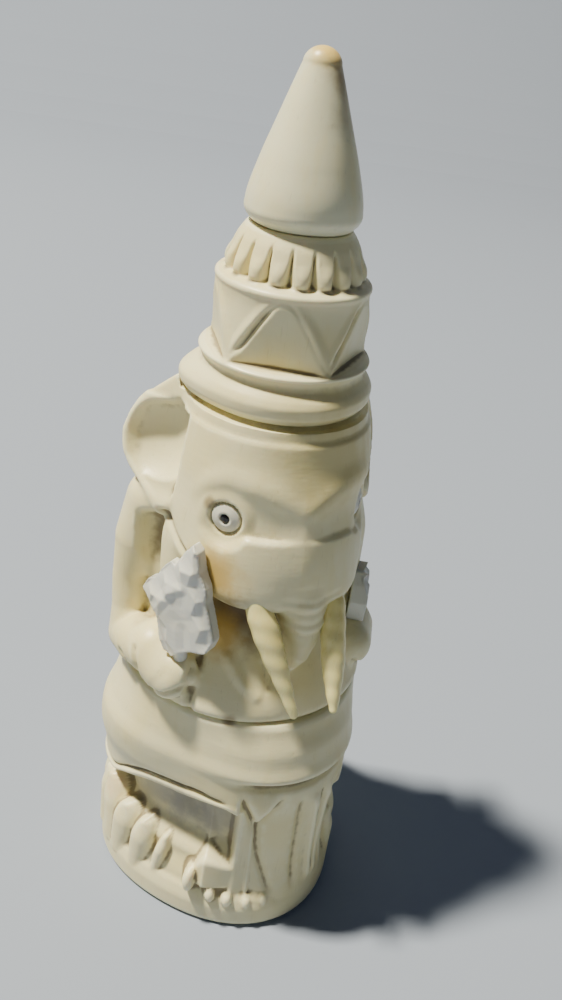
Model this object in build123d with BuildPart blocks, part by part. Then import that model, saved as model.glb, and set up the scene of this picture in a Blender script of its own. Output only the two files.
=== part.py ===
from build123d import *
import os
from math import cos, radians, sin, sqrt

# A small standing Ganesha figure carved from four stacked blocks of bone. The blocks are
# held by round dowels and glue. Tusks, eyes, pupils and what the hands hold are set in.
# +Z is up, the figure faces -Y, its right hand is on -X, and the origin is the middle of
# the foot. Millimetres.

os.makedirs("parts", exist_ok=True)

# ---- heights of the four stacked blocks ----
lower_height = 32.0
upper_height = 34.3
drum_height = 17.7
finial_height = 16.0

# ---- reach of the figure from its middle ----
base_radius = 16.0
half_width = 16.8  # out to each elbow
half_depth = 17.6  # out to the tusk tips in front and the hips behind
crown_x = 0.5  # the crown leans a little to the figure's left and forward
crown_y = -0.5

# ---- lower block: rim, skirt, hips, feet and lotus petals ----
rim_height = 4.8
rim_round = 0.8
skirt_inset = 1.3  # in from the edge of the base to the foot of the skirt
hip_rise = 20.5
hip_radius = 15.7
waist_radius = 14.0
waist_back = 0.9
petal_count = 22
petal_gap = 5  # petals left out in front, where the feet stand
petal_width = 3.6
petal_tall = 8.4
petal_thick = 1.6
petal_proud = 0.7
foot_radius = 5.4
foot_apart = 4.6
foot_inset = 6.8  # in from the edge of the base to the middle of each foot
foot_rise = 7.4

# ---- upper block: torso, head, trunk, ears and arms; rises are above the waist seam ----
chest_rise = 7.0
chest_radius = 11.6
neck_rise = 18.0
neck_radius = 10.2
jaw_rise = 14.2
jaw_half_width = 8.6
jaw_half_depth = 10.0
jaw_front = 3.0
eye_rise = 24.2
face_half_width = 10.8
face_half_depth = 11.2
face_front = 0.9
head_top_radius = 9.9
trunk_root_rise = 21.0
trunk_root_radius = 4.3
trunk_root_front = 9.6
trunk_end_rise = 8.0
trunk_end_radius = 1.3
trunk_end_front = 12.3
trunk_end_x = 1.7
ear_turn = 50.0  # how far the right ear's face is turned from the front
left_ear_turn = 58.0
ear_lean = 15.0
ear_tip_turn = 82.4  # the lower tip's place round the crown's middle
ear_tip_reach = 12.9
ear_tip_rise = 21.0
ear_thick = 2.4
ear_round = 1.0
ear_corners = (  # outwards from the lower tip and up from it
    (0.0, 0.0),
    (5.2, 3.4),
    (7.1, 7.2),
    (5.6, 11.4),
    (1.0, 15.0),
    (-3.4, 12.0),
    (-3.4, 3.6),
)
shoulder_rise = 19.5
shoulder_radius = 3.4
shoulder_reach = 12.5
forearm_rise = 10.0
forearm_radius = 2.1
forearm_inset = 0.4  # in from the elbow's side, where the upper arm is slim
elbow_rise = 3.4
elbow_radius = 2.8
right_arm_back = 2.2
left_arm_back = 4.6
wrist_radius = 2.6
fist_radius = 3.0
right_hand_out = 9.5
right_hand_front = 10.6
right_hand_rise = 3.4
left_hand_out = 10.8
left_hand_front = 6.6
left_hand_rise = 3.9

# ---- crown: drum and finial radii ----
collar_radius = 9.1
torus_radius = 9.8
torus_rise = 1.7
torus_tall = 2.4
band_radius = 8.5
band_rise = 3.5
lip_radius = 8.9
lip_rise = 4.9
ledge_radius = 7.9
ledge_rise = 12.6
tier_radius = 7.0
tier_rise = 13.2
tier_top_radius = 5.9
tier_top_drop = 0.9
drum_top_radius = 5.1
lobe_count = 16
lobe_groove = 0.55
facet_count = 5
facet_half_width = 4.6
facet_tall = 6.2
facet_low_rise = 5.5
facet_depth = 1.3  # in from the widest radius of the drum
finial_foot_radius = 5.1
finial_lip_radius = 5.85
finial_lip_rise = 1.4
finial_mid_radius = 3.7
finial_mid_rise = 9.2
finial_tip_radius = 1.55

# ---- set-in pieces ----
tusk_root_rise = 16.0
tusk_right_out = 4.0
tusk_right_front = 11.6
tusk_left_out = 5.5
tusk_left_front = 10.8
tusk_tip_rise = 3.4
tusk_right_tip_x = 0.7
tusk_left_tip_x = 5.4
tusk_root_radius = 1.3
tusk_belly_radius = 1.5
tusk_belly_at = 4.5
tusk_tip_radius = 0.55
tusk_seat = 3.0  # straight stretch of the root, most of it let into the jaw
tusk_pocket = 5.0
tenon_radius = 0.8
tenon_length = 2.4
eye_radius = 1.6
eye_thick = 1.4
eye_groove_radius = 2.05
eye_groove_depth = 0.5
pupil_radius = 0.65
pupil_length = 1.0
eye_out = 7.0  # from the middle of the face to the right eye
left_eye_out = 8.8
emblem_thick = 2.1
emblem_turn = 52.0
emblem_reach = 15.0  # from the crown's middle to the face of the fan
left_emblem_turn = 66.0
left_emblem_reach = 13.6
emblem_gap = 0.5  # from the top of the fist to the foot of the fan
emblem_corners = (  # towards the front and up from the foot
    (0.3, 0.0),
    (3.6, 2.6),
    (4.9, 4.8),
    (3.9, 8.6),
    (3.2, 9.2),
    (2.7, 12.3),
    (1.5, 15.2),
    (0.6, 14.0),
    (-0.4, 11.7),
    (-1.2, 12.0),
    (-2.7, 9.2),
    (-3.8, 8.6),
    (-4.6, 7.1),
    (-2.1, 4.9),
    (-1.2, 2.2),
)
left_emblem_corners = (  # towards the back and up from the foot
    (-1.6, 0.4),
    (0.6, 0.0),
    (2.2, 1.4),
    (2.9, 3.8),
    (2.4, 6.0),
    (1.2, 7.0),
    (0.2, 6.2),
    (-1.2, 6.8),
    (-2.0, 5.4),
    (-2.6, 3.4),
)
stem_radius = 0.9
stem_depth = 2.4  # how far the stem goes into the fist
stem_hold = 2.6  # how far it goes up into the fan

# ---- inner pieces and fits ----
dowel_radius = 3.0
dowel_half = 7.0
crown_dowel_radius = 2.0
crown_dowel_half = 5.0
pin_radius = 1.2
pin_half = 4.5
marrow_radius = 4.0
marrow_depth = 18.0
plug_radius = 5.5
plug_thick = 3.5
fit_clearance = 0.05  # all round a dowel, pin, tenon or set-in piece
end_clearance = 0.4  # past the end of a dowel, pin or tenon

# ---- places worked out from the sizes above ----
waist_seam = lower_height
crown_seam = waist_seam + upper_height
skirt_radius = base_radius - skirt_inset
foot_front = base_radius - foot_inset
finial_seam = crown_seam + drum_height
eye_height = waist_seam + eye_rise
hip_back = half_depth - hip_radius
elbow_out = half_width - elbow_radius


def face_point(out):
    """A point on the face at eye height, out to one side, and the way the face looks there."""
    across = out / face_half_width
    front = -face_front - face_half_depth * sqrt(1 - across * across)
    normal = (out / face_half_width**2, (front + face_front) / face_half_depth**2, 0)
    return Plane(origin=(out, front, eye_height), z_dir=normal)


def tusk_plane(root, tip):
    """A plane at a tusk's root that looks along the tusk to the middle of its round tip."""
    return Plane(origin=root, z_dir=Vector(*tip) - Vector(*root))


def ear_plane(turn, side):
    """A plane at an ear's lower tip, its x out to the ear's edge and its z out of its face."""
    flat = cos(radians(ear_lean))
    facing = Vector(side * sin(radians(turn)) * flat, -cos(radians(turn)) * flat, sin(radians(ear_lean)))
    outwards = Vector(side * cos(radians(turn)), sin(radians(turn)), 0)
    place = radians(ear_tip_turn + turn - ear_turn)
    tip = Vector(side * sin(place), -cos(place), 0) * ear_tip_reach
    tip = tip + Vector(crown_x, crown_y, waist_seam + ear_tip_rise)
    return Plane(origin=tip, x_dir=outwards, z_dir=facing)


def emblem_plane(turn, reach, foot_height, side):
    """The plane of an emblem's face, upright and turned from the front to the figure's side."""
    facing = Vector(side * sin(radians(turn)), -cos(radians(turn)), 0)
    across = Vector(cos(radians(turn)), side * sin(radians(turn)), 0)
    foot = facing * reach + Vector(crown_x, crown_y, foot_height)
    return Plane(origin=foot, x_dir=across, z_dir=facing)


tusk_right_root = (-tusk_right_out, -tusk_right_front, waist_seam + tusk_root_rise)
tusk_right_tip = (tusk_right_tip_x, tusk_tip_radius - half_depth, waist_seam + tusk_tip_rise)
tusk_left_root = (tusk_left_out, -tusk_left_front, waist_seam + tusk_root_rise)
tusk_left_tip = (tusk_left_tip_x, tusk_tip_radius - half_depth, waist_seam + tusk_tip_rise)
tusk_planes = {
    "tusk_right": tusk_plane(tusk_right_root, tusk_right_tip),
    "tusk_left": tusk_plane(tusk_left_root, tusk_left_tip),
}
tusk_lengths = {
    "tusk_right": (Vector(*tusk_right_tip) - Vector(*tusk_right_root)).length,
    "tusk_left": (Vector(*tusk_left_tip) - Vector(*tusk_left_root)).length,
}
eye_planes = {"right": face_point(-eye_out), "left": face_point(left_eye_out)}

right_hand = (-right_hand_out, -right_hand_front, waist_seam + right_hand_rise)
left_hand = (left_hand_out, -left_hand_front, waist_seam + left_hand_rise)
right_elbow = (-elbow_out, right_arm_back, waist_seam + elbow_rise)
left_elbow = (elbow_out, left_arm_back, waist_seam + elbow_rise)
hand_top = fist_radius + emblem_gap
emblem_right_plane = emblem_plane(emblem_turn, emblem_reach, right_hand[2] + hand_top, -1)
emblem_left_plane = emblem_plane(left_emblem_turn, left_emblem_reach, left_hand[2] + hand_top, 1)
ear_planes = {-1: ear_plane(ear_turn, -1), 1: ear_plane(left_ear_turn, 1)}

# ---- lower block: foot, skirt and hips ----
petal_step = 360 / petal_count
petal_turns = [petal_step * (i + petal_gap / 2) for i in range(petal_count - petal_gap + 1)]

with BuildPart() as lower_block:
    Cylinder(base_radius, rim_height, align=(Align.CENTER, Align.CENTER, Align.MIN))
    fillet(lower_block.edges().group_by(Axis.Z)[-1], rim_round)
    with BuildSketch(Plane.XY.offset(rim_height - rim_round)):
        Circle(skirt_radius)
    with BuildSketch(Plane.XY.offset(hip_rise)):
        with Locations((0, hip_back)):
            Circle(hip_radius)
    with BuildSketch(Plane.XY.offset(lower_height)):
        with Locations((0, waist_back)):
            Circle(waist_radius)
    loft(ruled=True)
    for side in (-1, 1):
        with Locations((side * foot_apart, -foot_front, foot_rise)):
            Sphere(foot_radius)
    for turn in petal_turns:
        facing = Vector(sin(radians(turn)), -cos(radians(turn)), 0)
        middle = facing * (skirt_radius + petal_proud)
        with BuildSketch(
            Plane(
                origin=(middle.X, middle.Y, rim_height + petal_tall / 2 - rim_round),
                x_dir=(0, 0, 1),
                z_dir=facing,
            )
        ):
            SlotOverall(petal_tall, petal_width)
        extrude(amount=-petal_thick)
    Cylinder(
        marrow_radius,
        marrow_depth,
        align=(Align.CENTER, Align.CENTER, Align.MIN),
        mode=Mode.SUBTRACT,
    )
    Cylinder(
        plug_radius + fit_clearance,
        plug_thick,
        align=(Align.CENTER, Align.CENTER, Align.MIN),
        mode=Mode.SUBTRACT,
    )
    with Locations((0, 0, lower_height)):
        Cylinder(
            dowel_radius + fit_clearance,
            dowel_half + end_clearance,
            align=(Align.CENTER, Align.CENTER, Align.MAX),
            mode=Mode.SUBTRACT,
        )
lower_block.part.label = "lower_block"
export_step(lower_block.part, "parts/lower_block.step")

# ---- upper block: torso, head, trunk, ears and arms in one carved piece ----
with BuildPart() as upper_block:
    with BuildSketch(Plane.XY.offset(waist_seam)):
        with Locations((0, waist_back)):
            Circle(waist_radius)
    with BuildSketch(Plane.XY.offset(waist_seam + chest_rise)):
        Circle(chest_radius)
    with BuildSketch(Plane.XY.offset(waist_seam + neck_rise)):
        Circle(neck_radius)
    loft(ruled=True)
    with BuildSketch(Plane.XY.offset(waist_seam + jaw_rise)):
        with Locations((0, -jaw_front)):
            Ellipse(jaw_half_width, jaw_half_depth)
    with BuildSketch(Plane.XY.offset(eye_height)):
        with Locations((0, -face_front)):
            Ellipse(face_half_width, face_half_depth)
    with BuildSketch(Plane.XY.offset(crown_seam)):
        with Locations((crown_x, crown_y)):
            Circle(head_top_radius)
    loft(ruled=True)
    with BuildSketch(Plane.XY.offset(waist_seam + trunk_root_rise)):
        with Locations((0, -trunk_root_front)):
            Circle(trunk_root_radius)
    with BuildSketch(Plane.XY.offset(waist_seam + trunk_end_rise)):
        with Locations((trunk_end_x, -trunk_end_front)):
            Circle(trunk_end_radius)
    loft(ruled=True)
    for side, plane in ear_planes.items():
        with BuildSketch(plane) as ear_outline:
            Polygon(*[(out, side * up) for out, up in ear_corners], align=None)
            fillet(ear_outline.vertices(), ear_round)
        extrude(amount=-ear_thick)
    for side, back, elbow, hand in (
        (-1, right_arm_back, right_elbow, right_hand),
        (1, left_arm_back, left_elbow, left_hand),
    ):
        with BuildSketch(Plane.XY.offset(waist_seam + shoulder_rise)):
            with Locations((side * shoulder_reach, back)):
                Circle(shoulder_radius)
        with BuildSketch(Plane.XY.offset(waist_seam + forearm_rise)):
            with Locations((side * (half_width - forearm_radius - forearm_inset), back)):
                Circle(forearm_radius)
        with BuildSketch(Plane.XY.offset(waist_seam + elbow_rise)):
            with Locations((side * elbow_out, back)):
                Circle(elbow_radius)
        loft(ruled=True)
        with Locations((side * shoulder_reach, back, waist_seam + shoulder_rise)):
            Sphere(shoulder_radius)
        with Locations(elbow):
            Sphere(elbow_radius)
        reach = Vector(*hand) - Vector(*elbow)
        with Locations(Plane(origin=elbow, z_dir=reach)):
            Cylinder(wrist_radius, reach.length, align=(Align.CENTER, Align.CENTER, Align.MIN))
        with Locations(hand):
            Sphere(fist_radius)
    split(bisect_by=Plane.XY.offset(waist_seam), keep=Keep.TOP)
    split(bisect_by=Plane.XY.offset(crown_seam), keep=Keep.BOTTOM)
    for plane in tusk_planes.values():
        with Locations(plane):
            Cylinder(
                tusk_root_radius + fit_clearance,
                tusk_pocket,
                align=(Align.CENTER, Align.CENTER, Align.MIN),
                mode=Mode.SUBTRACT,
            )
            Cylinder(
                tenon_radius + fit_clearance,
                tenon_length + end_clearance,
                align=(Align.CENTER, Align.CENTER, Align.MAX),
                mode=Mode.SUBTRACT,
            )
    for plane in eye_planes.values():
        with Locations(plane):
            Cylinder(eye_groove_radius, 2 * eye_groove_depth, mode=Mode.SUBTRACT)
            Cylinder(
                eye_radius + fit_clearance,
                eye_thick,
                align=(Align.CENTER, Align.CENTER, Align.MAX),
                mode=Mode.SUBTRACT,
            )
    for hand in (right_hand, left_hand):
        with Locations((hand[0], hand[1], hand[2] + fist_radius - stem_depth)):
            Cylinder(
                stem_radius + fit_clearance,
                stem_depth + stem_hold,
                align=(Align.CENTER, Align.CENTER, Align.MIN),
                mode=Mode.SUBTRACT,
            )
    with Locations((0, 0, waist_seam)):
        Cylinder(
            dowel_radius + fit_clearance,
            dowel_half + end_clearance,
            align=(Align.CENTER, Align.CENTER, Align.MIN),
            mode=Mode.SUBTRACT,
        )
    with Locations((crown_x, crown_y, crown_seam)):
        Cylinder(
            crown_dowel_radius + fit_clearance,
            crown_dowel_half + end_clearance,
            align=(Align.CENTER, Align.CENTER, Align.MAX),
            mode=Mode.SUBTRACT,
        )
upper_block.part.label = "upper_block"
export_step(upper_block.part, "parts/upper_block.step")

# ---- crown drum: collar, ring, facets, ledge and a tier of lobes ----
with BuildPart() as crown_drum:
    with BuildSketch(Plane.XZ.offset(-crown_y)):
        with BuildLine():
            Polyline(
                (crown_x, crown_seam),
                (crown_x + collar_radius, crown_seam),
                (crown_x + torus_radius, crown_seam + torus_rise - torus_tall / 2),
                (crown_x + torus_radius, crown_seam + torus_rise + torus_tall / 2),
                (crown_x + band_radius, crown_seam + band_rise),
                (crown_x + lip_radius, crown_seam + lip_rise),
                (crown_x + ledge_radius, crown_seam + ledge_rise),
                (crown_x + tier_radius, crown_seam + tier_rise),
                (crown_x + tier_top_radius, finial_seam - tier_top_drop),
                (crown_x + drum_top_radius, finial_seam),
                (crown_x, finial_seam),
                close=True,
            )
        make_face()
    revolve(axis=Axis((crown_x, crown_y, 0), (0, 0, 1)))
    with Locations((crown_x, crown_y, crown_seam + tier_rise)):
        with PolarLocations(tier_radius, lobe_count):
            Cylinder(
                lobe_groove,
                drum_height - tier_rise,
                align=(Align.CENTER, Align.CENTER, Align.MIN),
                mode=Mode.SUBTRACT,
            )
    for i in range(facet_count):
        turn = radians(360 / facet_count * i)
        facing = Vector(sin(turn), -cos(turn), 0)
        middle = Vector(crown_x, crown_y, crown_seam + facet_low_rise) + facing * lip_radius
        with BuildSketch(Plane(origin=middle, x_dir=(cos(turn), sin(turn), 0), z_dir=facing)):
            Polygon((-facet_half_width, 0), (facet_half_width, 0), (0, facet_tall), align=None)
        extrude(amount=-facet_depth, mode=Mode.SUBTRACT)
    with Locations((crown_x, crown_y, crown_seam)):
        Cylinder(
            crown_dowel_radius + fit_clearance,
            crown_dowel_half + end_clearance,
            align=(Align.CENTER, Align.CENTER, Align.MIN),
            mode=Mode.SUBTRACT,
        )
    with Locations((crown_x, crown_y, finial_seam)):
        Cylinder(
            pin_radius + fit_clearance,
            pin_half + end_clearance,
            align=(Align.CENTER, Align.CENTER, Align.MAX),
            mode=Mode.SUBTRACT,
        )
crown_drum.part.label = "crown_drum"
export_step(crown_drum.part, "parts/crown_drum.step")

# ---- finial: the smooth cone on top ----
top = finial_seam + finial_height
with BuildPart() as crown_finial:
    with BuildSketch(Plane.XZ.offset(-crown_y)):
        with BuildLine():
            foot = Line((crown_x, finial_seam), (crown_x + finial_foot_radius, finial_seam))
            turn_in = Line(foot @ 1, (crown_x + finial_lip_radius, finial_seam + finial_lip_rise))
            flank = Spline(
                turn_in @ 1,
                (crown_x + finial_mid_radius, finial_seam + finial_mid_rise),
                (crown_x + finial_tip_radius, top - finial_tip_radius),
            )
            RadiusArc(flank @ 1, (crown_x, top), -finial_tip_radius)
            Line((crown_x, top), foot @ 0)
        make_face()
    revolve(axis=Axis((crown_x, crown_y, 0), (0, 0, 1)))
    with Locations((crown_x, crown_y, finial_seam)):
        Cylinder(
            pin_radius + fit_clearance,
            pin_half + end_clearance,
            align=(Align.CENTER, Align.CENTER, Align.MIN),
            mode=Mode.SUBTRACT,
        )
crown_finial.part.label = "crown_finial"
export_step(crown_finial.part, "parts/crown_finial.step")

# ---- tusks: each with a straight root, a swelling, a round tip and a tenon ----
for name, plane in tusk_planes.items():
    length = tusk_lengths[name]
    profile = Plane(origin=plane.origin, x_dir=plane.x_dir, z_dir=plane.y_dir * -1)
    with BuildPart() as tusk:
        with BuildSketch(profile):
            with BuildLine():
                Polyline(
                    (0, length + tusk_tip_radius),
                    (0, -tenon_length),
                    (tenon_radius, -tenon_length),
                    (tenon_radius, 0),
                    (tusk_root_radius, 0),
                    (tusk_root_radius, tusk_seat),
                )
                flank = Spline(
                    (tusk_root_radius, tusk_seat),
                    (tusk_belly_radius, tusk_seat + tusk_belly_at),
                    (tusk_tip_radius, length),
                )
                RadiusArc(flank @ 1, (0, length + tusk_tip_radius), -tusk_tip_radius)
            make_face()
        revolve(axis=Axis(plane.origin, plane.z_dir))
    tusk.part.label = name
    export_step(tusk.part, f"parts/{name}.step")

# ---- eyes: a ring-shaped disc in each socket and a dark plug in its middle ----
for side, plane in eye_planes.items():
    with BuildPart() as eye_disc:
        with Locations(plane):
            Cylinder(eye_radius, eye_thick, align=(Align.CENTER, Align.CENTER, Align.MAX))
            Cylinder(
                pupil_radius + fit_clearance,
                pupil_length,
                align=(Align.CENTER, Align.CENTER, Align.MAX),
                mode=Mode.SUBTRACT,
            )
    eye_disc.part.label = f"eye_disc_{side}"
    export_step(eye_disc.part, f"parts/eye_disc_{side}.step")

    with BuildPart() as pupil:
        with Locations(plane):
            Cylinder(pupil_radius, pupil_length, align=(Align.CENTER, Align.CENTER, Align.MAX))
    pupil.part.label = f"pupil_{side}"
    export_step(pupil.part, f"parts/pupil_{side}.step")

# ---- emblems: a fan with a notched edge on a round stem in each fist ----
emblem_shapes = {
    "right": (emblem_right_plane, emblem_corners, right_hand),
    "left": (emblem_left_plane, left_emblem_corners, left_hand),
}
for side, (plane, corners, hand) in emblem_shapes.items():
    with BuildPart() as emblem:
        with BuildSketch(plane):
            Polygon(*corners, align=None)
        extrude(amount=-emblem_thick)
        with Locations((hand[0], hand[1], hand[2] + fist_radius - stem_depth)):
            Cylinder(
                stem_radius,
                stem_depth + emblem_gap + stem_hold,
                align=(Align.CENTER, Align.CENTER, Align.MIN),
            )
    emblem.part.label = f"emblem_{side}"
    export_step(emblem.part, f"parts/emblem_{side}.step")

# ---- inner pieces: dowels, pin and the plug that closes the marrow hollow ----
with BuildPart() as waist_dowel:
    with Locations((0, 0, waist_seam)):
        Cylinder(dowel_radius, 2 * dowel_half)
waist_dowel.part.label = "waist_dowel"
export_step(waist_dowel.part, "parts/waist_dowel.step")

with BuildPart() as crown_dowel:
    with Locations((crown_x, crown_y, crown_seam)):
        Cylinder(crown_dowel_radius, 2 * crown_dowel_half)
crown_dowel.part.label = "crown_dowel"
export_step(crown_dowel.part, "parts/crown_dowel.step")

with BuildPart() as finial_pin:
    with Locations((crown_x, crown_y, finial_seam)):
        Cylinder(pin_radius, 2 * pin_half)
finial_pin.part.label = "finial_pin"
export_step(finial_pin.part, "parts/finial_pin.step")

with BuildPart() as base_plug:
    Cylinder(plug_radius, plug_thick, align=(Align.CENTER, Align.CENTER, Align.MIN))
base_plug.part.label = "base_plug"
export_step(base_plug.part, "parts/base_plug.step")
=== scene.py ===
"""A small standing Ganesha figure, carved and set together from pieces of bone.

The four stacked blocks are carved here over the plain solids of the frame: a robe and lotus
foot, a head with trunk, ears and arms, a tiered crown and its cone. Lengths inside the
classes are millimetres from the crown's axis, and every finished mesh is put in metres.
"""
import logging
import math
from dataclasses import dataclass, field
from enum import Enum
from typing import Callable, ClassVar

import bmesh
import bpy
import numpy as np
from mathutils import Matrix, Vector


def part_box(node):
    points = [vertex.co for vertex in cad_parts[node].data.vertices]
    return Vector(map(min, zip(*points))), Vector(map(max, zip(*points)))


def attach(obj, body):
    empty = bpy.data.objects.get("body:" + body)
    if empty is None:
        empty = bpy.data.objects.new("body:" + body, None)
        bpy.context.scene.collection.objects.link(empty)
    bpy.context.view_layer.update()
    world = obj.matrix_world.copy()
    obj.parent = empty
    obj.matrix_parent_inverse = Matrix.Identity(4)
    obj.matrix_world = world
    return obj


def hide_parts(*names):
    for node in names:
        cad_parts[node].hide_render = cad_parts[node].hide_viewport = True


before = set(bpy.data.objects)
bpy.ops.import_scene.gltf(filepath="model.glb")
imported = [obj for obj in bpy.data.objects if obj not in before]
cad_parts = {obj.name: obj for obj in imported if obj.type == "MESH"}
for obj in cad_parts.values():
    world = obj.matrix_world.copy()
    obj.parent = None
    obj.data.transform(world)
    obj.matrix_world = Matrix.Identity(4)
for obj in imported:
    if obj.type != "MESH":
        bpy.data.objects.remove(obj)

LOG = logging.getLogger("ganesha")
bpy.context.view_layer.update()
MM = 0.001
BODY = "root"


class Side(Enum):
    """The figure's own right and left, with the sign of their X."""

    RIGHT = -1
    LEFT = 1

    @property
    def word(self) -> str:
        """The side as it is written in node names."""
        return self.name.lower()


class Cut(Enum):
    """The section that a carving stroke leaves."""

    V = "v"
    ROUND = "round"


def node_low(node: str) -> Vector:
    """The lowest corner of a frame node, in millimetres."""
    return Vector(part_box(node)[0]) / MM


def node_high(node: str) -> Vector:
    """The highest corner of a frame node, in millimetres."""
    return Vector(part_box(node)[1]) / MM


WAIST = node_high("lower_block").z
CROWN_SEAM = node_high("upper_block").z
FINIAL_SEAM = node_high("crown_drum").z
TOP = node_high("crown_finial").z
AXIS = (node_low("crown_drum") + node_high("crown_drum")) / 2
AXIS_FOOT = Vector((AXIS.x, AXIS.y, 0.0))


# ---- small mathematics shared by the carving classes ----
def ease(low: float, high: float, value: np.ndarray) -> np.ndarray:
    """Go smoothly from 0 at low to 1 at high."""
    share = np.clip((value - low) / (high - low), 0.0, 1.0)
    return share * share * (3.0 - 2.0 * share)


def bell(value: np.ndarray, width: object = 1.0) -> np.ndarray:
    """A smooth bump that is 1 at zero and has all but gone at twice its width."""
    return np.exp(-((value / width) ** 2))


def wrap(angle: np.ndarray) -> np.ndarray:
    """Bring angles in degrees between -180 and 180."""
    return (np.asarray(angle) + 180.0) % 360.0 - 180.0


def through(places: tuple, values: tuple, at: np.ndarray) -> np.ndarray:
    """A smooth curve through a few values that doesn't overshoot them.

    Args:
        places: where the values hold, rising.
        values: the value at each place.
        at: where the curve is wanted.

    Returns:
        The curve's value at each wanted place.
    """
    x = np.asarray(places, float)
    y = np.asarray(values, float)
    at = np.clip(at, x[0], x[-1])
    slopes = np.diff(y) / np.diff(x)
    tangents = np.zeros_like(y)
    same = slopes[:-1] * slopes[1:] > 0
    tangents[1:-1][same] = 2 * slopes[:-1][same] * slopes[1:][same] / (slopes[:-1] + slopes[1:])[same]
    tangents[0], tangents[-1] = slopes[0], slopes[-1]
    cell = np.clip(np.searchsorted(x, at) - 1, 0, len(x) - 2)
    width = (x[1:] - x[:-1])[cell]
    t = (at - x[cell]) / width
    start = y[cell] * (1 + 2 * t) * (1 - t) ** 2 + tangents[cell] * width * t * (1 - t) ** 2
    end = y[cell + 1] * t * t * (3 - 2 * t) + tangents[cell + 1] * width * t * t * (t - 1)
    return start + end


def polar(angle: float, radius: float, height: float) -> Vector:
    """A point from its angle off the front in degrees, its radius and its height."""
    turn = math.radians(angle)
    return Vector((radius * math.sin(turn), -radius * math.cos(turn), height))


def turned_to(way: Vector) -> Matrix:
    """The turn that takes straight up to a way."""
    return Vector((0, 0, 1)).rotation_difference(way.normalized()).to_matrix().to_4x4()


def plane(across: Vector, up: Vector, out: Vector, start: Vector) -> Matrix:
    """A plane's own axes as columns, with its starting point."""
    return Matrix((*zip(across, up, out, start), (0, 0, 0, 1)))


def blank_lobes(angle: np.ndarray) -> np.ndarray:
    """The three-cornered section that a limb bone has, from -1 to 1."""
    return np.cos(np.radians(3.0 * (angle - 13.0)))


# ---- modelling helpers ----
def new_object(name: str, bm: bmesh.types.BMesh) -> bpy.types.Object:
    """Put a bmesh into the scene as an object and free it."""
    mesh = bpy.data.meshes.new(name)
    bm.to_mesh(mesh)
    bm.free()
    obj = bpy.data.objects.new(name, mesh)
    bpy.context.scene.collection.objects.link(obj)
    return obj


def freeze(obj: bpy.types.Object) -> None:
    """Apply every modifier of an object to its mesh."""
    graph = bpy.context.evaluated_depsgraph_get()
    baked = bpy.data.meshes.new_from_object(obj.evaluated_get(graph))
    old = obj.data
    obj.modifiers.clear()
    obj.data = baked
    bpy.data.meshes.remove(old)


def resample(points: list, spacing: float) -> list:
    """Divide an open outline into runs no longer than a spacing."""
    out = [points[0]]
    for start, end in zip(points, points[1:]):
        a, b = Vector(start), Vector(end)
        count = max(1, math.ceil((b - a).length / spacing))
        out.extend(tuple(a.lerp(b, i / count)) for i in range(1, count + 1))
    return out


def turn_profile(bm: bmesh.types.BMesh, profile: list, steps: int) -> None:
    """Spin an open profile of (radius, height) pairs that starts and ends on the axis."""
    verts = [bm.verts.new((radius, 0.0, height)) for radius, height in profile]
    edges = [bm.edges.new(pair) for pair in zip(verts, verts[1:])]
    bmesh.ops.spin(
        bm,
        geom=verts + edges,
        cent=(0, 0, 0),
        axis=(0, 0, 1),
        angle=2 * math.pi,
        steps=steps,
        use_merge=True,
    )
    bmesh.ops.remove_doubles(bm, verts=bm.verts, dist=0.001)
    bmesh.ops.recalc_face_normals(bm, faces=bm.faces)


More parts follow.
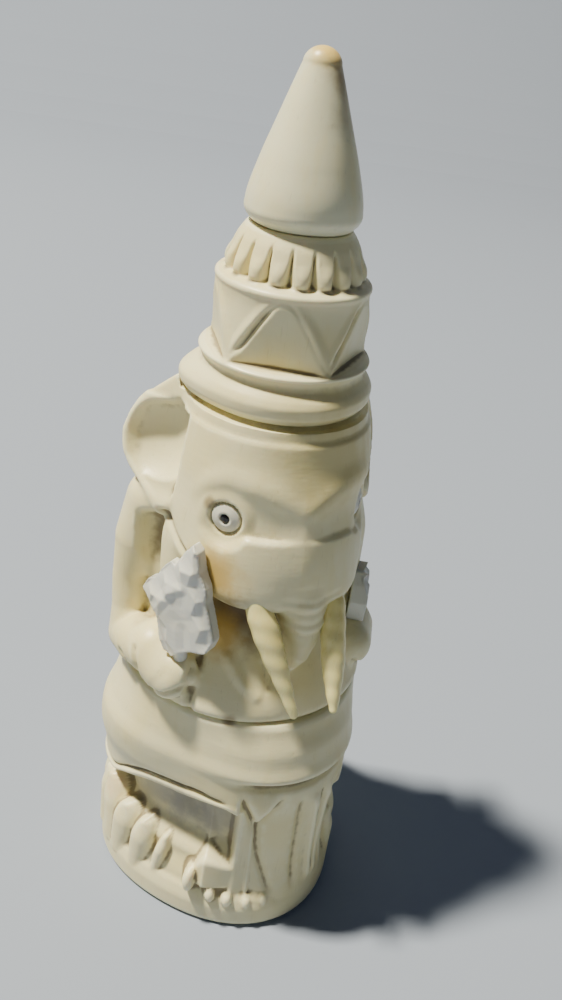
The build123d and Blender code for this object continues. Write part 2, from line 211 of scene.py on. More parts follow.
class Clay:
    """Rough shapes laid over each other, which are then fused into one smooth lump."""

    def __init__(self) -> None:
        """Start with nothing."""
        self.bm = bmesh.new()

    def ball(self, middle: Vector, radii: tuple, turn: float = 0.0) -> None:
        """Add an ellipsoid, turned about the vertical by some degrees."""
        place = Matrix.Translation(middle) @ Matrix.Rotation(math.radians(turn), 4, "Z")
        place = place @ Matrix.Diagonal((*radii, 1.0))
        bmesh.ops.create_uvsphere(self.bm, u_segments=40, v_segments=24, radius=1.0, matrix=place)

    def limb(self, points: list) -> None:
        """Add a round limb through (place, radius) pairs."""
        for (start, thick), (end, thin) in zip(points, points[1:]):
            reach = Vector(end) - Vector(start)
            middle = Matrix.Translation((Vector(start) + Vector(end)) / 2)
            bmesh.ops.create_cone(
                self.bm,
                cap_ends=True,
                segments=32,
                radius1=thick,
                radius2=thin,
                depth=reach.length,
                matrix=middle @ turned_to(reach),
            )
        for place, radius in points:
            self.ball(Vector(place), (radius, radius, radius))

    def bent(self, rows: tuple) -> None:
        """Add a round limb through rows of angle, radius, height and thickness."""
        self.limb([(polar(*row[:3]), row[3]) for row in rows])

    def slab(self, outline: list, thick: float, place: Matrix, round_edge: float = 0.0) -> None:
        """Add a flat plate with an outline in its own plane, centred in its thickness."""
        part = bmesh.new()
        face = part.faces.new([part.verts.new((x, y, -thick / 2)) for x, y in outline])
        grown = bmesh.ops.extrude_face_region(part, geom=[face])["geom"]
        tops = [v for v in grown if isinstance(v, bmesh.types.BMVert)]
        bmesh.ops.translate(part, verts=tops, vec=(0, 0, thick))
        bmesh.ops.recalc_face_normals(part, faces=part.faces)
        if round_edge:
            bmesh.ops.bevel(
                part,
                geom=list(part.edges),
                offset=round_edge,
                affect="EDGES",
                segments=2,
                profile=0.5,
                material=-1,
            )
        part.transform(place)
        self.take(part)

    def take(self, other: bmesh.types.BMesh) -> None:
        """Add another bmesh and free it."""
        carrier = bpy.data.meshes.new("carrier")
        other.to_mesh(carrier)
        other.free()
        self.bm.from_mesh(carrier)
        bpy.data.meshes.remove(carrier)

    def fuse(self, name: str, grain: float, soften: int) -> bpy.types.Object:
        """Fuse the shapes into one closed skin.

        Args:
            name: the object's name.
            grain: the size of the skin's cells.
            soften: how many rounds of smoothing melt the joins.

        Returns:
            The object, with its modifiers applied.
        """
        obj = new_object(name, self.bm)
        fused = obj.modifiers.new("fuse", "REMESH")
        fused.mode = "VOXEL"
        fused.voxel_size = grain
        melted = obj.modifiers.new("melt", "SMOOTH")
        melted.factor = 0.5
        melted.iterations = soften
        freeze(obj)
        return obj


class Carving:
    """A mesh under the knife: strokes move its vertices, in millimetres from the axis."""

    def __init__(self, obj: bpy.types.Object) -> None:
        """Read the mesh of an object."""
        self.obj = obj
        self.at = self._read("vertices", "co")
        self.look()

    def _read(self, group: str, name: str) -> np.ndarray:
        """Read one vector for each vertex."""
        source = getattr(self.obj.data, group)
        flat = np.empty(len(source) * 3, np.float32)
        source.foreach_get(name, flat)
        return flat.reshape(-1, 3).astype(float)

    def look(self) -> None:
        """Write the moves into the mesh and work out angles, radii and normals again."""
        self.obj.data.vertices.foreach_set("co", self.at.astype(np.float32).ravel())
        self.obj.data.update()
        self.normal = self._read("vertex_normals", "vector")
        self.angle = np.degrees(np.arctan2(self.at[:, 0], -self.at[:, 1]))
        self.radius = np.hypot(self.at[:, 0], self.at[:, 1])
        self.height = self.at[:, 2].copy()

    def set_radius(self, radius: np.ndarray) -> None:
        """Give each vertex a new radius and keep its angle and height."""
        scale = radius / np.maximum(self.radius, 1e-6)
        self.at[:, 0] *= scale
        self.at[:, 1] *= scale
        self.look()

    def seen_in(self, place: Matrix) -> np.ndarray:
        """The vertices in a plane's own axes: across, up and out."""
        back = np.array(place.inverted())
        return self.at @ back[:3, :3].T + back[:3, 3]

    def distance(self, path: tuple) -> np.ndarray:
        """How far each vertex is from a path of (angle, height) points over the skin."""
        best = np.full(len(self.at), 1e9)
        for (a0, z0), (a1, z1) in zip(path, path[1:]):
            scale = np.radians(1.0) * self.radius
            dx, dz = (a1 - a0) * scale, z1 - z0
            px, pz = wrap(self.angle - a0) * scale, self.height - z0
            share = np.clip((px * dx + pz * dz) / np.maximum(dx * dx + dz * dz, 1e-9), 0, 1)
            best = np.minimum(best, np.hypot(px - share * dx, pz - share * dz))
        return best

    def stroke(self, path: tuple, width: float, depth: float, cut: Cut, reach: tuple) -> None:
        """Carve along a path over the outward skin; a negative depth raises a ridge.

        Args:
            path: (angle, height) points.
            width: half the width of the cut.
            depth: how deep it goes.
            cut: the section of the cut.
            reach: the radii that the knife can touch.
        """
        near = np.clip(1.0 - self.distance(path) / width, 0.0, 1.0)
        if cut is Cut.ROUND:
            near = near * near * (3 - 2 * near)
        near *= (self.radius > reach[0]) & (self.radius < reach[1])
        radial = (self.normal[:, :2] * self.at[:, :2]).sum(1) / np.maximum(self.radius, 1e-6)
        near *= ease(-0.1, 0.25, radial)
        self.at -= self.normal * (near * depth)[:, None]
        self.look()

    def soften(self, rounds: int, factor: float = 0.5) -> None:
        """Smooth the whole skin a little."""
        modifier = self.obj.modifiers.new("soften", "SMOOTH")
        modifier.factor = factor
        modifier.iterations = rounds
        freeze(self.obj)
        self.at = self._read("vertices", "co")
        self.look()

    def mark_wear(self, rounds: int = 6) -> None:
        """Store how hollow (over 0.5) or sharp (under 0.5) each vertex is, for the finishes."""
        mesh = self.obj.data
        edges = np.empty(len(mesh.edges) * 2, np.int64)
        mesh.edges.foreach_get("vertices", edges)
        a, b = edges[0::2], edges[1::2]
        count = np.bincount(a, minlength=len(self.at)) + np.bincount(b, minlength=len(self.at))
        smooth = self.at.copy()
        for _ in range(rounds):
            total = np.zeros_like(smooth)
            for axis in range(3):
                total[:, axis] = np.bincount(a, smooth[b, axis], len(smooth)) + np.bincount(
                    b, smooth[a, axis], len(smooth)
                )
            smooth = total / np.maximum(count, 1)[:, None]
        hollow = ((smooth - self.at) * self.normal).sum(1)
        wear = np.clip(0.5 + hollow / 0.5, 0.0, 1.0)
        layer = mesh.attributes.new("wear", "FLOAT", "POINT")
        layer.data.foreach_set("value", wear.astype(np.float32))


def finish_piece(obj: bpy.types.Object, node: str, material: bpy.types.Material) -> None:
    """Put a carved piece in its place in metres, dress it, hang it on the body and hide the frame node it
    stands for.
    """
    obj.data.transform(Matrix.Translation(AXIS_FOOT))
    obj.data.transform(Matrix.Scale(MM, 4))
    obj.data.polygons.foreach_set("use_smooth", [True] * len(obj.data.polygons))
    obj.data.materials.clear()
    obj.data.materials.append(material)
    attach(obj, BODY)
    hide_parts(node)
    LOG.info("%s: %d faces", obj.name, len(obj.data.polygons))


# ---- the lower block: robe, feet and lotus foot ----
@dataclass(frozen=True)
class Petal:
    """One petal of the lotus foot, leaning from its foot to its tip."""

    tip: float
    foot: float
    top: float
    half: float
    proud: float = 2.0


@dataclass
class LowerBlock:
    """The foot, robe and hips, carved from a turned blank."""

    blank_radius: float = 15.5
    rim_height: float = 4.4
    plug_radius: float = 5.6
    plug_deep: float = 3.5
    cell: float = 0.24
    steps: int = 440
    back_petals: int = 14
    back_start: float = 88.0
    back_end: float = -96.0
    core: tuple = (6.5, 14.5)  # the carving fades out between these radii
    petals: tuple = (
        Petal(-94.0, -89.5, 12.8, 8.6),
        Petal(-77.5, -80.5, 11.4, 8.4),
        Petal(-64.0, -66.5, 11.0, 7.6),
        Petal(-50.5, -54.5, 10.4, 4.4, 1.7),
        Petal(50.0, 52.0, 11.6, 7.2),
        Petal(64.0, 66.0, 12.0, 7.8),
        Petal(78.5, 80.0, 12.0, 8.0),
    )

    def blank(self) -> bpy.types.Object:
        """Turn the plain drum, with the seat of the plug in its foot."""
        radius = self.blank_radius
        outline = [
            (0.0, self.plug_deep),
            (self.plug_radius, self.plug_deep),
            (self.plug_radius, 0.0),
            (radius, 0.0),
        ]
        side = resample([(radius, 0.0), (radius, WAIST)], self.cell)[1:]
        lid = resample([(radius, WAIST), (0.0, WAIST)], 1.0)[1:]
        bm = bmesh.new()
        turn_profile(bm, outline + side + lid, self.steps)
        return new_object("lower_block_carved", bm)

    def outline(self, angle: np.ndarray, z: np.ndarray) -> np.ndarray:
        """The carved radius at each angle and height."""
        swell = through(
            (0, 5, 10, 14, 18, 21.5, 24.5, 27, 29.5, 31.3, WAIST),
            (15.6, 15.3, 14.7, 14.6, 14.8, 15.3, 15.2, 14.6, 14.3, 14.2, 13.8),
            z,
        )
        corner = through((0, 6, 12, 16, 21.5, 26, WAIST), (0.75, 0.8, 1.2, 1.5, 1.3, 0.8, 0.4), z)
        body = swell + corner * blank_lobes(angle)
        belly = ease(60, 15, np.abs(wrap(angle - 14))) * ease(23.4, 25.6, z) * ease(31.5, 28.0, z)
        body += belly * 0.8
        body += 0.9 * bell(wrap(angle + 84), 30) * bell(z - 25, 4.6)  # the right thigh under the cloth
        body -= 0.7 * bell(z - 24.0, 0.6) * ease(36, 14, np.abs(wrap(angle - 12)))
        body = self._back_folds(body, angle, z)

        hem = self._hem(angle)
        open_front = ease(-15.0, -12.6, angle) * ease(40, 38, angle) * ease(24.0, 20.5, z)
        far = ease(96, 140, np.abs(angle))
        under = 12.3 + 0.8 * far + 0.9 * blank_lobes(angle)
        under += 1.7 * ease(12.4, 9.0, z) + 0.8 * ease(8.5, 5.0, z)
        under -= 0.7 * bell(angle + 41, 9) * bell(z - 16.0, 2.0)
        skirt = body + 0.15 + 0.3 * bell(z - hem - 0.75, 0.6)
        right_rise = 1.7 - 0.7 * ease(-60, -90, angle) - 0.6 * ease(-38, -24, angle)
        skirt -= 0.55 * bell(z - hem - right_rise, 0.3) * ease(-18, -24, angle)
        left_rise = 1.7 - 0.7 * ease(60, 90, angle)
        skirt -= 0.5 * bell(z - hem - left_rise, 0.31) * ease(38, 44, angle)
        edge = ease(-0.2, 0.12, z - hem)
        closed = under + (skirt - under) * edge
        front = self._front(body, angle, z)
        radius = closed + (front - closed) * open_front

        radius = np.maximum(radius, self._petal_row(angle, z))
        radius = np.maximum(radius, self._feet(angle, z))
        rim = 15.6 + 0.75 * blank_lobes(angle)
        rim -= 0.5 * ease(0.6, 0.0, z) + 0.5 * ease(2.6, 4.9, z)
        keep = ease(self.rim_height + 0.9, self.rim_height - 0.2, z)
        return radius + (np.maximum(rim, radius * (z > 2.5)) - radius) * keep

    def _hem(self, angle: np.ndarray) -> np.ndarray:
        """The height of the robe's hem, an arch that falls to each side."""
        right = through(
            (-180, -120, -91, -77, -62.5, -51, -43, -31.5, -22.5, -14),
            (15.6, 15.0, 14.8, 16.6, 18.1, 18.6, 18.8, 19.3, 19.5, 18.8),
            angle,
        )
        left = through((34, 50, 64, 78, 92, 120, 180), (18.0, 18.9, 18.4, 16.9, 15.0, 15.0, 15.6), angle)
        return np.where(angle > 12, left, right)

    def _front(self, body: np.ndarray, angle: np.ndarray, z: np.ndarray) -> np.ndarray:
        """The pointed cloth between the legs and the long folds beside it."""
        middle = -4.5 + 0.6 * (21 - z) * ease(17, 5, z)
        half = 8.4 * ease(16.0, 23.0, z) + 0.3
        side = bell(np.abs(angle + 5.5) - half, 2.2)
        radius = body - 0.6 * side * ease(14.0, 17.5, z) * ease(25.0, 21.0, z)
        cloth = ease(1.2, -2.5, np.abs(angle + 5.5) - half)
        radius += 0.25 * cloth * ease(16, 18, z) * ease(25, 22, z)
        low = ease(23.0, 19.0, z) * (1 - cloth)
        radius -= 0.9 * low * bell(angle + 4, 9.0)
        seam = bell(angle - middle, 1.9) * ease(18, 16, z) * ease(4.6, 6.5, z)
        radius -= 0.5 * seam
        for start, lean, wide, high in (
            (19.5, 0.45, 2.2, 0.75),
            (28.0, 0.1, 1.8, 0.55),
            (12.5, 0.3, 1.8, -0.45),
            (24.0, 0.25, 1.2, -0.5),
            (33.0, 0.1, 1.6, -0.5),
        ):
            fold = bell(angle - start - lean * (20 - z), wide)
            radius += high * fold * ease(4.4, 7.0, z) * ease(23.0, 20.0, z)
        return radius

    def _back_folds(self, body: np.ndarray, angle: np.ndarray, z: np.ndarray) -> np.ndarray:
        """Shallow drapery that fans over the hips at the back."""
        off = np.abs(wrap(angle - 180))
        for start, lean in ((14.0, 1.5), (32.0, 2.4), (50.0, 3.2)):
            fold = bell(off - start - lean * (26 - z), 3.0)
            body = body - 0.35 * fold * ease(16.5, 18.5, z) * ease(30.5, 27.0, z)
        return body

    def _petal_row(self, angle: np.ndarray, z: np.ndarray) -> np.ndarray:
        """All petals of the lotus foot."""
        step = (360.0 + self.back_end - self.back_start) / self.back_petals
        row = list(self.petals)
        for place in range(self.back_petals):
            turn = self.back_start + step * (place + 0.5)
            row.append(Petal(turn, turn + 1.2, 12.2, step * 0.56))
        radius = np.zeros_like(z)
        for petal in row:
            up = np.clip((z - self.rim_height) / (petal.top - self.rim_height), 0, 1)
            middle = petal.foot + (petal.tip - petal.foot) * up
            arch = np.sqrt(np.clip(1 - np.clip((up - 0.45) / 0.55, 0, 1) ** 2.2, 0, 1))
            half = petal.half * arch * (0.9 + 0.1 * ease(0.0, 0.35, up))
            across = np.clip(np.abs(wrap(angle - middle)) / np.maximum(half, 1e-3), 0, 1)
            shape = (1 - across**2.4) ** 0.55
            crown = 13.5 + (petal.proud + 0.2 - 0.7 * ease(0.5, 1.0, up)) * shape
            crown += 1.0 * blank_lobes(angle)
            inside = (across < 1) & (z < petal.top)
            radius = np.maximum(radius, np.where(inside, crown, 0.0))
        return radius

    def _feet(self, angle: np.ndarray, z: np.ndarray) -> np.ndarray:
        """The right foot's faceted mound and its toes."""
        top = through((-36, -34.0, -26.5, -18, -10.5, 2, 11), (6.2, 8.2, 10.9, 10.3, 9.7, 7.8, 5.4), angle)
        left_facet = 15.0 + 0.055 * (angle + 30)
        face = np.where(angle < -27, left_facet - 0.012 * (angle + 27) ** 2, 15.35 - 0.035 * (angle + 27))
        face -= 0.08 * (z - 6)
        slope = face - 2.6 * ease(-1.0, 0.6, z - top)
        slope -= 1.6 * ease(2, 12, angle) + 0.7 * ease(-32.5, -35.5, angle)
        mound = np.where((angle > -35.5) & (angle < 12), slope, 0.0)
        mound -= 0.9 * ease(6.3, 5.0, z) * (mound > 0)
        for place, rise in ((-22.3, 4.9), (-14.3, 4.4), (-5.2, 3.9), (2.6, 4.0)):
            size = np.hypot(wrap(angle - place) / 2.5, (z - rise) / 1.1)
            lump = 15.2 + 0.75 * np.sqrt(np.clip(1 - size**2, 0, 1)) + 0.3 * blank_lobes(angle)
            mound = np.maximum(mound, np.where(size < 1, lump, 0))
        nub = np.hypot(wrap(angle + 33.2) / 3.0, (z - 6.6) / 1.9)
        return np.maximum(mound, np.where(nub < 1, 14.9 + 1.1 * np.sqrt(np.clip(1 - nub**2, 0, 1)), 0))

    def build(self, finish: "BoneFinish") -> None:
        """Carve and dress the block."""
        obj = self.blank()
        work = Carving(obj)
        outer = self.outline(work.angle, work.height)
        share = 1 + (outer / self.blank_radius - 1) * ease(*self.core, work.radius)
        work.set_radius(work.radius * share)
        work.soften(1, 0.5)
        work.mark_wear()
        finish_piece(obj, "lower_block", finish.make())


# ---- the upper block: head, trunk, ears, arms and torso ----
@dataclass
class EarPlane:
    """The leaning plane of one ear: across it, up it and out of its face."""

    side: Side
    turn: float
    lean: float = 15.0
    foot: tuple = (12.8, -1.7, 53.0)

    def matrix(self) -> Matrix:
        """The ear's own axes as columns, with its tip as the origin."""
        turn = math.radians(self.turn)
        lean = math.radians(self.lean)
        sign = self.side.value
        flat = math.cos(lean)
        out = Vector((sign * math.sin(turn) * flat, -math.cos(turn) * flat, math.sin(lean)))
        across = Vector((sign * math.cos(turn), math.sin(turn), 0.0))
        up = out.cross(across) * (1 if sign < 0 else -1)
        up = up if up.z > 0 else -up
        reach = math.hypot(self.foot[0], self.foot[1])
        start = math.degrees(math.atan2(self.foot[0], -self.foot[1])) + self.turn - 50.0
        foot = polar(sign * start, reach, self.foot[2])
        return plane(across, up, out, foot)


@dataclass
class UpperBlock:
    """The torso with its arms and the elephant head, fused from rough shapes and carved."""

    grain: float = 0.25
    melt: int = 7
    left_slim: float = 1.0
    levels: tuple = (46.2, 46.9, 48.2, 51.0, 54.5, 57.0, 60.0, 62.5, 65.0, 66.3)
    rows: tuple = (
        (0.0, (12.2, 13.5, 13.7, 13.6, 13.0, 12.3, 11.6, 10.9, 10.4, 10.2)),
        (25.0, (12.0, 13.2, 13.5, 13.3, 12.8, 12.1, 11.6, 10.9, 10.4, 10.2)),
        (45.0, (10.8, 12.0, 12.7, 12.8, 12.3, 11.8, 11.4, 10.9, 10.4, 10.2)),
        (65.0, (9.4, 10.4, 11.6, 12.3, 12.0, 11.6, 11.2, 10.8, 10.4, 10.2)),
        (90.0, (8.5, 9.3, 10.4, 11.3, 11.5, 11.3, 11.0, 10.7, 10.3, 10.1)),
        (180.0, (8.5, 9.4, 10.4, 11.0, 11.3, 11.3, 11.0, 10.7, 10.3, 10.1)),
    )
    torso_levels: tuple = (32.0, 32.6, 34.0, 37.0, 41.0, 45.0, 50.0, 55.0)
    torso_rows: tuple = (
        (0.0, (13.7, 14.1, 13.9, 12.6, 10.6, 9.2, 9.0, 9.4)),
        (40.0, (13.8, 14.2, 13.7, 12.5, 10.9, 9.6, 9.4, 9.8)),
        (75.0, (13.7, 14.1, 13.6, 12.4, 12.0, 12.3, 12.2, 11.0)),
        (120.0, (13.6, 14.0, 13.6, 12.9, 12.7, 12.9, 12.6, 11.4)),
        (180.0, (13.5, 13.9, 13.6, 13.3, 13.0, 12.6, 11.8, 11.0)),
    )
    ear_outline: tuple = (
        (-1.2, 0.9), (-0.2, -0.5), (1.2, 0.3), (3.2, 2.2), (5.2, 3.6), (6.6, 5.3), (7.1, 7.4),
        (6.6, 9.6), (5.9, 11.2), (4.5, 13.0), (3.0, 14.4), (1.7, 15.6), (-0.4, 16.0), (-2.8, 12.0),
        (-3.6, 7.0), (-3.0, 3.6),
    )
    ears: tuple = (EarPlane(Side.RIGHT, 50.0), EarPlane(Side.LEFT, 56.0))
    trunk: tuple = (
        (4, 7.6, 56.5, 4.2), (5, 9.2, 51.5, 4.2), (6.5, 10.9, 47.4, 3.2), (8.0, 11.5, 44.6, 2.6),
        (8.0, 11.9, 42.4, 2.0), (6.5, 12.2, 40.6, 1.5), (3.0, 12.1, 39.2, 1.1),
    )
    right_arm: tuple = (
        (-103, 12.0, 52.4, 3.5), (-103, 13.4, 47.5, 3.1), (-102, 14.4, 42.5, 2.2), (-100, 14.5, 38.5, 2.0),
        (-97, 14.2, 34.9, 2.6), (-84, 13.6, 36.0, 3.0), (-71, 13.2, 36.9, 3.3), (-60, 13.3, 35.8, 3.0),
        (-56, 13.4, 35.3, 2.8),
    )
    right_armpit: tuple = ((-98, 12.0, 51.0, 2.4), (-98, 12.9, 46.5, 1.9), (-97, 13.0, 44.4, 1.3))
    left_arm: tuple = (
        (116, 11.6, 51.5, 3.4), (113, 12.6, 46.5, 2.8), (107, 13.4, 41.5, 2.2), (100, 13.6, 36.0, 2.6),
        (78, 12.8, 36.0, 2.8), (58, 12.2, 36.6, 3.0),
    )
    knuckle: tuple = (-54, 13.2, 36.2)
    cuts: tuple = (  # path, half width, depth, section, reach
        (((-82, 53.2), (-71, 52.0), (-60, 50.8)), 0.7, 0.5, Cut.V, (10.5, 15)),
        (((-88, 51.5), (-86, 47.5), (-84, 44.0)), 1.5, 1.2, Cut.ROUND, (10.5, 14.6)),
        (((-66, 33.4), (-60, 33.9), (-52, 34.5), (-46, 35.7)), 0.45, 0.4, Cut.V, (14.2, 18)),
        (((-66, 32.2), (-58, 32.6), (-50, 33.2), (-46, 34.0)), 0.4, 0.3, Cut.V, (14.2, 18)),
        (((-80, 35.6), (-74, 34.2), (-70, 32.0)), 0.6, 0.4, Cut.V, (14.2, 18)),
        (((-70, 38.0), (-68, 36.2), (-68.5, 33.0)), 0.6, 0.35, Cut.V, (14.5, 18)),
        (((62, 33.6), (54, 34.4), (47, 35.8)), 0.45, 0.4, Cut.V, (13.6, 18)),
        (((-44.5, 38.5), (-44, 35), (-44, 32.4)), 0.7, 0.5, Cut.V, (11, 15.5)),
        (((-30, 39.0), (-22, 37.0), (-13, 35.4)), 1.0, -0.25, Cut.ROUND, (10.5, 15)),
        (((-10, 38.6), (-7, 36.2), (-4, 38.4)), 0.7, 0.3, Cut.V, (10.5, 15)),
    )

    @staticmethod
    def _sections(rows: tuple, levels: tuple, angle: float, z: float) -> float:
        """The radius at one angle and height, between a few section curves."""
        radii = tuple(float(through(levels, row, z)) for _, row in rows)
        return float(through(tuple(turn for turn, _ in rows), radii, abs(angle)))

    def _slim(self, angle: float, z: float) -> float:
        """How much flatter the figure's left cheek is than its right one."""
        near = float(bell(angle - 62.0, 24.0))
        high = float(through((45.0, 49.0, 52.0, 57.0, 61.0), (0.3, 0.8, 1.0, 1.0, 0.2), z))
        return self.left_slim * near * high

    def _turned(self, clay: Clay, rows: tuple, levels: tuple, steps: int) -> None:
        """Add a closed shape whose section changes with angle and height."""
        part = bmesh.new()
        side = resample([(10.0, levels[0]), (10.0, levels[-1])], 0.45)
        turn_profile(part, [(0.0, levels[0])] + side + [(0.0, levels[-1])], steps)
        for vert in part.verts:
            flat = vert.co.xy.length
            if flat < 1:
                continue
            angle = math.degrees(math.atan2(vert.co.x, -vert.co.y))
            radius = self._sections(rows, levels, angle, vert.co.z)
            if rows is self.rows:
                radius -= self._slim(angle, vert.co.z)
            scale = radius / flat
            vert.co.x *= scale
            vert.co.y *= scale
        clay.take(part)

    def build(self, finish: "BoneFinish") -> None:
        """Fuse, carve and dress the block."""
        clay = Clay()
        self._turned(clay, self.torso_rows, self.torso_levels, 96)
        self._turned(clay, self.rows, self.levels, 120)
        clay.bent(self.trunk)
        clay.bent(self.right_arm)
        clay.ball(polar(*self.knuckle), (2.9, 2.3, 2.6), -50)
        clay.bent(self.right_armpit)
        clay.bent(self.left_arm)
        for ear in self.ears:
            clay.slab(list(self.ear_outline), 2.4, ear.matrix() @ Matrix.Translation((0, 0, -1.2)), 0.6)
        obj = clay.fuse("upper_block_carved", self.grain, self.melt)
        work = Carving(obj)
        self._face(work)
        for ear in self.ears:
            self._hollow_ear(work, ear)
        self._body(work)
        work.soften(2, 0.5)
        for side in Side:
            self._seat_eye(work, side)
        low = WAIST + 0.02
        high = np.where(work.radius < 10.6, CROWN_SEAM - 0.02, TOP)
        work.at[:, 2] = np.clip(work.at[:, 2], low, high)
        work.look()
        work.mark_wear()
        finish_piece(obj, "upper_block", finish.make())

    def _face(self, work: Carving) -> None:
        """Cut the brow, the wedge under it, a faint swell down the nose and the shelf of the headband."""
        side = np.abs(work.angle)
        z = work.height
        head = (work.radius > 9.0) & (z > 50)
        upper = through((2, 14, 26, 38, 52, 62), (57.6, 58.9, 59.8, 60.1, 59.0, 57.2), side)
        lower = through((2, 28, 34, 48), (55.3, 55.2, 54.6, 54.6), side)
        share = np.clip((upper - z) / (upper - lower), 0, 1)
        wedge = share**0.9 * ease(lower - 0.5, lower + 0.2, z) * ease(-3.0, 19.0, side) * ease(56, 40, side)
        wedge *= 1 - 0.45 * ease(0, 8, work.angle)
        ridge = bell(z - upper - 0.7, 1.2) * ease(68, 50, side)
        nose = bell(work.angle - 4, 6.0) * ease(62, 58, z) * ease(46, 49, z)
        band = ease(64.6, 65.1, z)
        move = -0.75 * wedge + 0.2 * ridge + 0.08 * nose - 0.3 * band
        work.at += work.normal * (move * head)[:, None]
        work.look()

    def _hollow_ear(self, work: Carving, ear: EarPlane) -> None:
        """Scoop out the face of one ear and leave a rim round it."""
        u, v, out = work.seen_in(ear.matrix()).T
        out_way = np.array(ear.matrix().to_3x3().col[2])
        face = (np.abs(out) < 1.8) & (work.normal @ out_way > 0.2)
        face &= (work.angle * ear.side.value > 79) & (work.radius > 10.4)
        limit = through((0.0, 2.2, 3.6, 5.4, 7.6, 10.0, 12.1), (0.6, 3.4, 5.6, 7.0, 7.5, 6.9, 5.4), v)
        rim = ease(0.7, 2.2, limit - u) * ease(13.2, 12.2, v + 0.33 * u)
        bowl = np.clip(1 - ((u - 1.2) / 5.6) ** 2 - ((v - 8.2 + 0.2 * u) / 4.9) ** 2, 0, 1) ** 0.7
        channel = 0.55 * ease(0.8, 3.0, v) * ease(7.0, 4.0, v)
        deep = rim * np.maximum(2.3 * bowl, channel)
        work.at -= out_way * (deep * face)[:, None]
        work.look()

    def _body(self, work: Carving) -> None:
        """Cut the grooves of the arms, the bracelet, the chest and the trunk."""
        for path, width, depth, cut, reach in self.cuts:
            work.stroke(path, width, depth, cut, reach)
        for height, depth in ((48.4, 0.12), (47.0, 0.14), (45.6, 0.14), (44.2, 0.12)):
            work.stroke(((-6, height), (8, height - 0.4), (22, height)), 0.6, depth, Cut.ROUND, (11, 16))

    def _seat_eye(self, work: Carving, side: Side) -> None:
        """Level the skin round one eye and cut the ring round the disc."""
        middle, facing = Eye(side).seat()
        way = np.array(facing)
        offset = work.at - np.array(middle)
        out = offset @ way
        flat = np.sqrt(np.maximum((offset**2).sum(1) - out**2, 0))
        near = (1 - ease(2.0, 3.4, flat)) * (np.abs(out) < 2.4)
        work.at -= way * (out * near)[:, None]
        ring = ease(2.02, 1.74, flat)
        work.at -= way * (0.42 * ring * (np.abs(out) < 2.4))[:, None]
        work.look()


# ---- the crown ----
@dataclass
class CrownDrum:
    """The tiered crown below the cone: collar, ring, faceted drum, ledge and lobes."""

    lobes: int = 18
    facets: int = 5
    blank_radius: float = 9.0
    cell: float = 0.15
    steps: int = 460

    def outline(self, angle: np.ndarray, z: np.ndarray) -> np.ndarray:
        """The carved radius at each angle and height."""
        rise = z - CROWN_SEAM
        radius = through(
            (0, 0.25, 0.5, 1.1, 1.9, 2.6, 3.1, 3.5, 3.9, 4.35, 4.75, 4.95, 5.4, 9.0, 12.0, 12.35, 12.7,
             12.95, 13.3, 14.6, 16.2, 17.2, 17.7),
            (8.9, 9.1, 9.3, 9.7, 9.75, 9.45, 9.0, 8.65, 8.55, 8.75, 9.0, 8.95, 8.55, 8.25, 7.9, 8.0, 7.9,
             7.3, 6.95, 6.75, 6.2, 5.6, 5.2),
            rise,
        )
        radius = radius + 0.1 * blank_lobes(angle + 20) * ease(5, 3, rise)
        radius += bell(wrap(angle + 104), 26) * ease(3.8, 1.6, rise)
        return self._lobe(self._facet(radius, angle, rise), angle, rise)

    def _facet(self, radius: np.ndarray, angle: np.ndarray, rise: np.ndarray) -> np.ndarray:
        """File flat triangles into the drum, each with a knife cut along its first side."""
        pitch = 360.0 / self.facets
        offset = wrap((angle + 25.5) % pitch)
        offset = np.where(offset > pitch / 2, offset - pitch, offset)
        band = ease(4.95, 5.15, rise) * ease(12.3, 12.0, rise)
        up = np.clip((rise - 5.2) / 7.0, 0, 1)
        flat = np.minimum(radius, (7.15 + 0.9 * up) / np.cos(np.radians(np.clip(offset, -50, 50))))
        half = 33.0 * (1 - up) ** 0.8 + 2.0
        knife = bell(offset + half, 2.6) * ease(0.05, 0.3, up) * ease(0.98, 0.7, up)
        other = bell(offset - half, 2.0) * ease(0.0, 0.15, up) * ease(1.0, 0.9, up)
        between = ease(2, 12, np.abs(offset) - half) * np.sin(math.pi * up) * 0.3
        return radius + (flat - 0.6 * knife - 0.1 * other - between - radius) * band

    def _lobe(self, radius: np.ndarray, angle: np.ndarray, rise: np.ndarray) -> np.ndarray:
        """Rounded lobes with deep cuts between them under the cone."""
        pitch = 360.0 / self.lobes
        offset = (angle + 5.0) % pitch
        offset = np.minimum(offset, pitch - offset)
        band = ease(12.95, 13.3, rise) * ease(16.9, 15.4, rise)
        wide = 1.5 + 2.0 * ease(15.8, 13.2, rise)
        between = bell(offset, wide)
        swell = 0.35 * ease(0, pitch / 2, offset) * ease(13.0, 13.7, rise) * ease(15.6, 14.0, rise)
        deep = 0.75 - 0.3 * ease(5, 30, angle) * ease(90, 60, angle)
        return radius + swell * band - deep * between * band

    def build(self, finish: "BoneFinish") -> None:
        """Turn, carve and dress the drum."""
        side = resample([(self.blank_radius, CROWN_SEAM), (self.blank_radius, FINIAL_SEAM)], self.cell)
        lid = [(6.0, FINIAL_SEAM), (3.0, FINIAL_SEAM), (0.0, FINIAL_SEAM)]
        bm = bmesh.new()
        turn_profile(bm, [(0.0, CROWN_SEAM), (4.0, CROWN_SEAM)] + side + lid, self.steps)
        obj = new_object("crown_drum_carved", bm)
        work = Carving(obj)
        outer = self.outline(work.angle, work.height)
        work.set_radius(work.radius * outer / self.blank_radius)
        work.soften(1, 0.4)
        work.mark_wear()
        finish_piece(obj, "crown_drum", finish.make())


